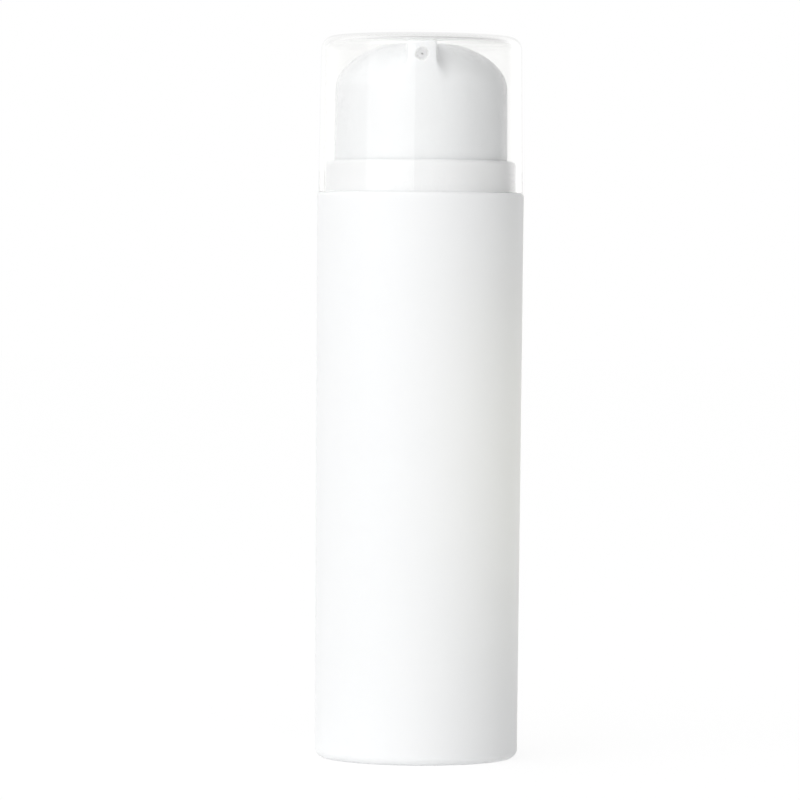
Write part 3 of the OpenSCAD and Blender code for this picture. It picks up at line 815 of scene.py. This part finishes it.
def floor_material():
    """A pale matt sheet that glows, faintly for the bottle and strongly for the camera."""
    material, board = shader_board("pale_floor")
    where = board.add("ShaderNodeTexCoord", output="Object")
    grain = noise(board, where, 3, 2)
    matt = board.add("ShaderNodeBsdfDiffuse", None,
                     {"Color": blend(board, grain, grey(0.9), grey(0.88))})
    glow = board.add("ShaderNodeEmission", None, {"Color": grey(1.0), "Strength": FLOOR_GLOW})
    path = board.add("ShaderNodeLightPath", output="Is Camera Ray")
    mirrored = board.add("ShaderNodeMath", {"operation": "MAXIMUM"},
                         {0: path.out("Is Transmission Ray"), 1: path.out("Is Glossy Ray")})
    seen = board.add("ShaderNodeMath", {"operation": "MAXIMUM"}, {0: path, 1: mirrored})
    both = board.add("ShaderNodeMixShader", None,
                     {0: GLOW_ALWAYS + seen * GLOW_WHEN_SEEN, 1: matt, 2: glow})
    board.add("ShaderNodeOutputMaterial", None, {"Surface": both})
    return material


floor_mesh = bpy.data.meshes.new("floor")
corners = [(-1, -1), (1, -1), (1, 1), (-1, 1)]
floor_mesh.from_pydata([(x * FLOOR_HALF, y * FLOOR_HALF, 0) for x, y in corners],
                       [], [(0, 1, 2, 3)])
floor_mesh.materials.append(floor_material())
floor = link(floor_mesh, "floor")

# %% Softbox and fill


def hang(lamp, azimuth, distance, height, target_out, target_height):
    """Hangs a lamp and points it at a target, all in metres; azimuth 0 is in front, 90 right."""
    a = math.radians(azimuth)
    side = Vector((math.sin(a), -math.cos(a), 0))
    place = side * distance + Vector((0, 0, height))
    aim = side * target_out + Vector((0, 0, target_height)) - place
    thing = link(lamp, lamp.name)
    turn = aim.to_track_quat("-Z", "Y").to_matrix().to_4x4()
    thing.matrix_world = Matrix.Translation(place) @ turn
    return thing


key = bpy.data.lights.new("key_softbox", "AREA")
key.shape, key.size, key.size_y, key.energy = "RECTANGLE", 1.1, 1.5, 2.69
hang(key, -36, 1.0, 0.30, target_out=0, target_height=0.09).visible_camera = False

# A narrow soft spot lifts the right side of the bottle's middle, as a small reflector does.
fill = bpy.data.lights.new("right_fill", "SPOT")
fill.spot_size, fill.spot_blend, fill.energy = math.radians(16), 1.0, 0.74
fill.shadow_soft_size, fill.color = 0.03, (1, 0.98, 0.65)
hang(fill, 80, 0.45, 0.08, target_out=0.02, target_height=0.072).visible_glossy = False

# %% [markdown]
# The room's own light depends on the direction only. A colour ramp holds its level round the
# compass, from the back over the left, the front and the right to the back again. It rises with
# height and then goes over to the ceiling's own level. What the camera sees behind the bottle is
# plain white. Through clear plastic that backdrop is a little darker, so that the cap's edges
# show, and reflections of it are pale too, a shade less so to the right.

# %% The room
ROOM_TOP = 1.6
ROOM_ROUND = [0.75, 0.88, 0.79, 0.73, 0.96, 1.07, 1.09, 0.95, 0.23, 0.0, 0.02, 0.42, 0.75]
CEILING, RISE = 0.38, 0.75
SEEN_THROUGH_CAP = 0.72
REFLECTED, LESS_ON_RIGHT = 0.97, 0.08
world = bpy.data.worlds.new("white_room")
bpy.context.scene.world = world
world.use_nodes = True
world.node_tree.nodes.clear()
room = Board(world.node_tree)
east = room.add("ShaderNodeSeparateXYZ", None,
                {0: room.add("ShaderNodeTexCoord", output="Generated")}, "X")
north, up = east.out("Y"), east.out("Z")
compass = room.add("ShaderNodeMath", {"operation": "ARCTAN2"}, {0: east, 1: 0 - north})
stops = [(i / 12, level / ROOM_TOP) for i, level in enumerate(ROOM_ROUND)]
around = room.add("ShaderNodeValToRGB", {"stops": stops}, {"Fac": compass / math.tau + 0.5})
high_up = (up * up) * (up * up)
level = around * ROOM_TOP * (1 + RISE * up) * (1 - high_up) + CEILING * high_up
low_down = room.add("ShaderNodeMapRange", {"interpolation_type": "SMOOTHSTEP"},
                    {"Value": up, 1: 0.25, 2: 0.6, 3: 1.0, 4: 0.0})
behind = room.add("ShaderNodeMapRange", {"interpolation_type": "SMOOTHSTEP"},
                  {"Value": north, 1: 0.4, 2: 0.8, 3: 0.0, 4: 1.0})
path = room.add("ShaderNodeLightPath", output="Is Camera Ray")
white = room.add("ShaderNodeMath", {"operation": "MAXIMUM"},
                 {0: path, 1: path.out("Is Transmission Ray") * SEEN_THROUGH_CAP * low_down})
rightward = room.add("ShaderNodeMapRange", {"interpolation_type": "SMOOTHSTEP"},
                     {"Value": east, 1: -0.25, 2: -0.02, 3: 0.0, 4: 1.0})
pale = path.out("Is Glossy Ray") * behind
reflected = REFLECTED - LESS_ON_RIGHT * rightward
strength = level + white * (1 - level) + pale * (reflected - level)
background = room.add("ShaderNodeBackground", None, {"Color": grey(1.0), "Strength": strength})
room.add("ShaderNodeOutputWorld", None, {"Surface": background})

bpy.context.scene.view_settings.view_transform = "Standard"
